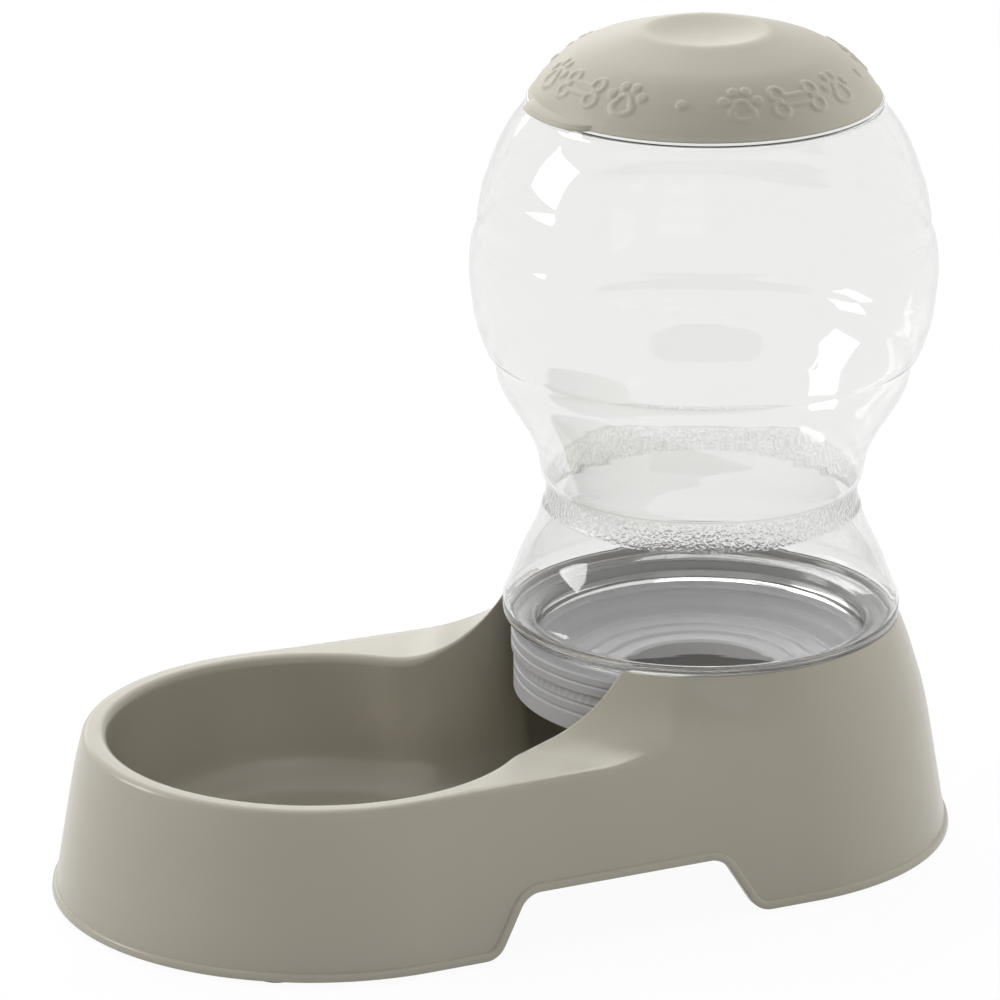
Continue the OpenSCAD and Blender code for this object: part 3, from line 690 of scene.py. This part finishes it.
class FEEDER_OT_neck_ring(bpy.types.Operator):
    """Builds the screwed neck ring with its grip band and shallow outlet cup"""
    bl_idname = "feeder.neck_ring"
    bl_label = "Neck ring"

    def execute(self, context):
        group = context.scene.feeder_ring
        rib, = mm(group, "rib")
        low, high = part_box("neck_ring")
        centre = (MM * (low.x + high.x) / 2, MM * (low.y + high.y) / 2)
        line, outside = ring_profile(MM * (high.x - low.x) / 2)
        # Support rows a short way along each edge keep the shading crisp at its corners
        ahead = np.roll(line, -1, axis=0) - line
        length = np.linalg.norm(ahead, axis=1, keepdims=True)
        step = ahead / length * np.minimum(0.15, 0.25 * length)
        line = np.stack([line, line + step, line + ahead - step], axis=1).reshape(-1, 2)
        on_band = ((np.abs(line[:, 1] - 15.0) < 1.9) & (np.arange(len(line)) < 3 * outside))[:, None]
        line[:, 1] += MM * low.z

        def ribs(angle, height):
            """Grooves that leave the ribs: rib times the positive part of cos(ribs a)."""
            return -rib * on_band * np.clip(np.cos(group.ribs * angle), 0, 1)

        piece = surface("neck_ring_cap", revolve(line, 4 * group.ribs, centre, ribs), wrap_rows=True)
        # The cup's paler grey in this material is a painted glow
        material = milky_polypropylene("moulded_milky_polypropylene", group.colour, group.inside, centre)
        finish_piece(piece, material, "feeder", "frosted_plastic", "neck_ring")
        return {"FINISHED"}


# Fall of the lid's outer line below its top, at each radius: dish, slope and shoulder
LID_KNOTS = (
    (0, 2.7), (6, 2.6), (12, 2.05), (17, 1.25), (21, 0.5), (24, 0.12), (27, 0.5), (31.5, 1.75), (39, 3.85),
    (46, 6.05), (50, 7.8), (53.4, 9.8), (56.3, 11.9), (58.8, 14.0), (60.9, 16.1), (62.8, 18.2), (64.5, 20.2),
    (66.0, 22.2), (67.3, 24.3))
LID_WALL = 2.0
# Finger tab: height of its top, distance it stands out, its bearing and half its width in degrees
TAB_TOP, TAB_OUT, TAB_BEARING, TAB_HALF = 2.1, 5.6, 185.0, 19.0
# Raised band: its radius, bearing of its first motif, and radius of the dots between motifs
BAND_R, BAND_BEARING, DOT_R = 59.0, 10.0, 2.0
# Width over which a raised line's edge rises
SOFT_EDGE = 0.2


def lid_profile(rim, height):
    """Lines of [radius, height above the rim]: the outside, the lower edge and the underside."""
    knots = [(r, height - fall) for r, fall in LID_KNOTS] + [(rim - 0.2, 0.7)]
    # Rows stand closest together under the raised band
    outer = smooth_line(knots, np.concatenate([
        np.linspace(0, 0.68, 34, endpoint=False), np.linspace(0.68, 0.92, 46, endpoint=False),
        np.linspace(0.92, 1, 17)]))
    skirt = np.array([(rim, 0.35), (rim - 0.25, 0.05), (rim - 0.6, 0.0), (rim - LID_WALL, 0.0),
                      (rim - LID_WALL - 0.2, 0.3)])
    under = offset_line(outer, -LID_WALL)[::-1][4::7]
    under[-1] = (0, height - LID_KNOTS[0][1] - LID_WALL)
    return outer, skirt, under


def quarters(degrees, bearing):
    """Angle in degrees, from -45 to 45, from the nearest of four places a quarter turn apart."""
    return (degrees - bearing + 45) % 90 - 45


def rise(distance):
    """Soft step from 0 to 1 where a signed distance falls through zero: 1 / (1 + e^(d / soft))."""
    return 1 / (1 + np.exp(distance / SOFT_EDGE))


def relief(across, up, stroke):
    """Height from 0 to 1 of one motif: a bone in outline between two paw prints.

    A bone's edge is where the distance to its shaft and four lobes is zero, and the
    line is drawn within half a stroke of it. A paw print is a pad and four toes.
    """
    line = lambda distance: rise(np.abs(distance + stroke / 2) - stroke / 2)
    lobe = lambda x, y, r: np.hypot(across - x, up - y) - r
    shaft = np.maximum(np.abs(across) - 8.4, np.abs(up) - 3.1)
    lobes = [lobe(x, y, 3.9) for x in (-8.2, 8.2) for y in (-3.4, 3.4)]
    height = line(np.minimum.reduce([shaft] + lobes))
    for x in (-23.4, 23.4):
        pad = np.minimum(np.hypot((across - x) / 1.3, up + 3.4) - 4.1, lobe(x, -1.2, 3.9))
        toes = [lobe(x + dx, dy, 2.05) for dx, dy in ((-6.7, 1.6), (-2.6, 5.9), (2.6, 5.9), (6.7, 1.6))]
        height = np.maximum.reduce([height, line(pad), rise(np.minimum.reduce(toes))])
    return height


class FEEDER_OT_lid(bpy.types.Operator):
    """Builds the pressed lid with its raised paw prints and bones, dots and finger tab"""
    bl_idname = "feeder.lid"
    bl_label = "Pressed lid"

    def execute(self, context):
        group = context.scene.feeder_lid
        height, stroke = mm(group, "relief stroke")
        low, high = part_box("lid")
        centre_x = MM * (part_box("bottle")[0].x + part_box("bottle")[1].x) / 2
        rim = MM * (high.y - low.y) / 2
        outer, skirt, under = lid_profile(rim, MM * (high.z - low.z))
        # Four close rows over the finger tab's top keep its edges crisp
        row = np.argmax(outer[:, 1] < TAB_TOP)
        before, after = outer[row - 1], outer[row]
        close = [before + share * (after - before) for share in (0.2, 0.46, 0.54, 0.8)]
        outer = np.insert(outer, row, close, axis=0)
        line = np.vstack([outer, skirt, under])
        angle = np.linspace(0, 2 * np.pi, 800, endpoint=False)
        degrees = np.degrees(angle)

        # The band's motifs and dots, raised along the outer line's normal
        run = np.concatenate([[0], np.cumsum(np.hypot(*np.diff(outer, axis=0).T))])
        up = (np.interp(BAND_R, outer[:, 0], run) - run)[:, None]
        across = BAND_R * np.radians(quarters(degrees, BAND_BEARING))[None, :]
        between = BAND_R * np.radians(quarters(degrees, BAND_BEARING + 45))[None, :]
        raised = np.maximum(relief(across, up, stroke), rise(np.hypot(between, up) - DOT_R))
        lean = np.gradient(outer, axis=0)
        lean /= np.linalg.norm(lean, axis=1, keepdims=True)
        normal = np.stack([-lean[:, 1], lean[:, 0]], -1)[:, None, :]
        grid = np.repeat(line[:, None, :], len(angle), axis=1)
        grid[:len(outer)] += (height * raised)[..., None] * normal

        # The tab: the lowest rows stand out by TAB_OUT (1 - (turn / TAB_HALF)^4)^0.7
        tab = TAB_OUT * np.clip(1 - ((degrees - TAB_BEARING) / TAB_HALF) ** 4, 0, None) ** 0.7
        near_rim = (grid[..., 1] < (before[1] + after[1]) / 2) & (grid[..., 0] > rim - 3.0)
        near_rim[len(outer) + 3:] = False
        radius = grid[..., 0] + tab[None, :] * near_rim
        points = np.stack([centre_x + radius * np.cos(angle), radius * np.sin(angle),
                           MM * low.z + grid[..., 1]], axis=-1)
        piece = surface("pressed_lid", points)
        material = moulded_polypropylene("injection_moulded_polypropylene_light_taupe", group.colour, 0.42)
        finish_piece(piece, material, "cap", "lid_plastic", "lid")
        return {"FINISHED"}


def moulded_rubber(name, colour):
    """Moulded rubber: dark and dull, with a fine grain.

    The real grain is finer than shows in the render, so it is drawn about 1 mm apart.
    """
    material, tree, output = new_material(name)
    where = add_node(tree, "ShaderNodeTexCoord").outputs["Object"]
    grain = add_node(tree, "ShaderNodeTexNoise", {"Vector": where, "Scale": MM / 1.0, "Detail": 2.0})
    bump = add_node(tree, "ShaderNodeBump", {"Height": grain.outputs["Fac"], "Strength": 0.3,
                                             "Distance": 0.1 / MM})
    shader = add_node(tree, "ShaderNodeBsdfPrincipled", {
        "Base Color": colour, "Roughness": 0.62, "IOR": 1.52, "Normal": bump.outputs["Normal"]})
    tree.links.new(shader.outputs["BSDF"], output.inputs["Surface"])
    return material


class FEEDER_OT_feet(bpy.types.Operator):
    """Builds the four rubber feet as turned pads, dimpled below, with a rounded lower edge"""
    bl_idname = "feeder.feet"
    bl_label = "Rubber feet"

    def execute(self, context):
        group = context.scene.feeder_feet
        edge, = mm(group, "edge")
        rubber = moulded_rubber("moulded_rubber_dark", group.colour)
        turn = np.linspace(-np.pi / 2, 0, 6)
        for name in FEET:
            low, high = (MM * np.array(corner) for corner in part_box(name))
            r = (high[0] - low[0]) / 2
            rounding = np.stack([r - edge + edge * np.cos(turn), low[2] + edge + edge * np.sin(turn)], -1)
            line = np.vstack([[(0, low[2] + 0.4), (r - 3.0, low[2] + 0.4), (r - 2.2, low[2])], rounding,
                              [(r, high[2] - 0.2), (r - 0.2, high[2]), (0, high[2])]])
            piece = surface(f"rubber_{name}", revolve(line, 64, (low + high)[:2] / 2))
            finish_piece(piece, rubber, "feeder", "foot_rubber", name)
        return {"FINISHED"}


# Share of plain white in the floor that the camera sees; the rest is lit paper with the shadow
FLOOR_WHITE = 0.95
# Strength of the world's light on the object
WORLD_LIGHT = 0.16
# Point that every lamp faces, in metres
AIM = Vector((0, 0, 0.15))


def camera_white(tree):
    """A socket that is 1 for what the camera, gloss and clear plastic see, and 0 for other light."""
    path = add_node(tree, "ShaderNodeLightPath")
    seen = add_node(tree, "ShaderNodeMath", {
        0: path.outputs["Is Camera Ray"], 1: path.outputs["Is Glossy Ray"]}, operation="ADD")
    seen = add_node(tree, "ShaderNodeMath", {
        0: seen.outputs[0], 1: path.outputs["Is Transmission Ray"]}, operation="ADD", use_clamp=True)
    return seen.outputs[0]


class FEEDER_OT_stage(bpy.types.Operator):
    """Sets the white floor, the soft lamps, the world and the camera"""
    bl_idname = "feeder.stage"
    bl_label = "Stage"

    def execute(self, context):
        group = context.scene.feeder_stage
        scene = context.scene
        self.floor(scene)
        self.world(scene)
        # Name, place and size in metres, and whether the lamp shows in gloss and in clear plastic
        lamps = (("key", (-1.28, 0.80, 0.88), (0.70, 0.70), False, False),
                 ("window", (-1.20, 0.75, 0.83), (0.62, 0.60), True, True),
                 ("right", (1.45, -0.10, 0.75), (0.90, 0.90), False, False),
                 ("front", (-0.20, -1.60, 0.80), (0.90, 0.90), False, False),
                 ("top", (0.00, 0.10, 1.70), (1.20, 1.20), False, True),
                 ("back", (0.15, 1.20, 1.20), (1.20, 0.80), False, True),
                 ("rear", (0.40, 2.20, 0.75), (1.60, 0.50), True, False))
        for name, place, spread, in_gloss, in_clear in lamps:
            lamp = bpy.data.lights.new(f"softbox_{name}", "AREA")
            lamp.shape, lamp.energy = "RECTANGLE", getattr(group, name)
            lamp.size, lamp.size_y = spread
            holder = bpy.data.objects.new(lamp.name, lamp)
            holder.location = place
            holder.rotation_euler = (AIM - Vector(place)).to_track_quat("-Z", "Y").to_euler()
            holder.visible_camera = False
            holder.visible_glossy, holder.visible_transmission = in_gloss, in_clear
            scene.collection.objects.link(holder)
        camera = bpy.data.cameras.new("camera")
        camera.lens, camera.sensor_width = group.lens, 36.0
        camera.clip_end = 20.0
        holder = bpy.data.objects.new("camera", camera)
        holder.location = (-1.1241, -2.4532, 1.0667)
        holder.rotation_euler = Euler(np.radians((71.20, 0.0, -24.57)))
        scene.collection.objects.link(holder)
        scene.camera = holder
        scene.view_settings.view_transform = "Standard"
        return {"FINISHED"}

    @staticmethod
    def floor(scene):
        """A plain floor: matte under the lamps, to take the shadow, and mostly white to the camera."""
        mesh = bpy.data.meshes.new("floor")
        mesh.from_pydata([(-3, -3, 0), (3, -3, 0), (3, 3, 0), (-3, 3, 0)], [], [(0, 1, 2, 3)])
        piece = bpy.data.objects.new("floor", mesh)
        scene.collection.objects.link(piece)
        material, tree, output = new_material("matte_white_paper")
        white = add_node(tree, "ShaderNodeEmission", {"Color": (1, 1, 1, 1), "Strength": 1.0})
        paper = add_node(tree, "ShaderNodeBsdfDiffuse", {"Color": linear("#E6E6E6")})
        share = add_node(tree, "ShaderNodeMath", {0: camera_white(tree), 1: FLOOR_WHITE},
                         operation="MULTIPLY")
        mix = add_node(tree, "ShaderNodeMixShader", {0: share.outputs[0], 1: paper.outputs[0],
                                                     2: white.outputs[0]})
        tree.links.new(mix.outputs[0], output.inputs["Surface"])
        mesh.materials.append(material)

    @staticmethod
    def world(scene):
        """Soft grey light from all round, seen as plain white behind the object."""
        world = bpy.data.worlds.new("studio")
        world.use_nodes = True
        tree = world.node_tree
        tree.nodes.clear()
        output = add_node(tree, "ShaderNodeOutputWorld")
        white = add_node(tree, "ShaderNodeBackground", {"Color": (1, 1, 1, 1), "Strength": 1.0})
        soft = add_node(tree, "ShaderNodeBackground", {"Color": (1, 1, 1, 1), "Strength": WORLD_LIGHT})
        mix = add_node(tree, "ShaderNodeMixShader", {0: camera_white(tree), 1: soft.outputs[0],
                                                     2: white.outputs[0]})
        tree.links.new(mix.outputs[0], output.inputs["Surface"])
        scene.world = world


class FEEDER_PT_panel(bpy.types.Panel):
    """Lists the feeder's pieces in the 3D view's sidebar"""
    bl_label = "Gravity Pet Feeder"
    bl_idname = "FEEDER_PT_panel"
    bl_space_type = "VIEW_3D"
    bl_region_type = "UI"
    bl_category = "Feeder"

    def draw(self, context):
        """Draws each operator's button over its settings."""
        for name, operator in PIECES:
            box = self.layout.box()
            box.operator(operator.bl_idname)
            group = getattr(context.scene, f"feeder_{name}")
            for key in group.__annotations__:
                box.prop(group, key)


PIECES = (("base", FEEDER_OT_base), ("bottle", FEEDER_OT_bottle), ("ring", FEEDER_OT_neck_ring),
          ("lid", FEEDER_OT_lid), ("feet", FEEDER_OT_feet), ("stage", FEEDER_OT_stage))
GROUPS = {"base": BaseSettings, "bottle": BottleSettings, "ring": RingSettings, "lid": LidSettings,
          "feet": FeetSettings, "stage": StageSettings}


def register():
    """Registers the settings on the scene, then the operators and the panel."""
    for name, group in GROUPS.items():
        bpy.utils.register_class(group)
        setattr(bpy.types.Scene, f"feeder_{name}", PointerProperty(type=group))
    for _, operator in PIECES:
        bpy.utils.register_class(operator)
    bpy.utils.register_class(FEEDER_PT_panel)


def unregister():
    """Undoes register, in the opposite order."""
    bpy.utils.unregister_class(FEEDER_PT_panel)
    for _, operator in reversed(PIECES):
        bpy.utils.unregister_class(operator)
    for name, group in reversed(GROUPS.items()):
        delattr(bpy.types.Scene, f"feeder_{name}")
        bpy.utils.unregister_class(group)


def main():
    register()
    bpy.ops.feeder.base()
    bpy.ops.feeder.bottle()
    bpy.ops.feeder.neck_ring()
    bpy.ops.feeder.lid()
    bpy.ops.feeder.feet()
    bpy.ops.feeder.stage()
    bpy.context.view_layer.update()


if __name__ == "__main__":
    main()
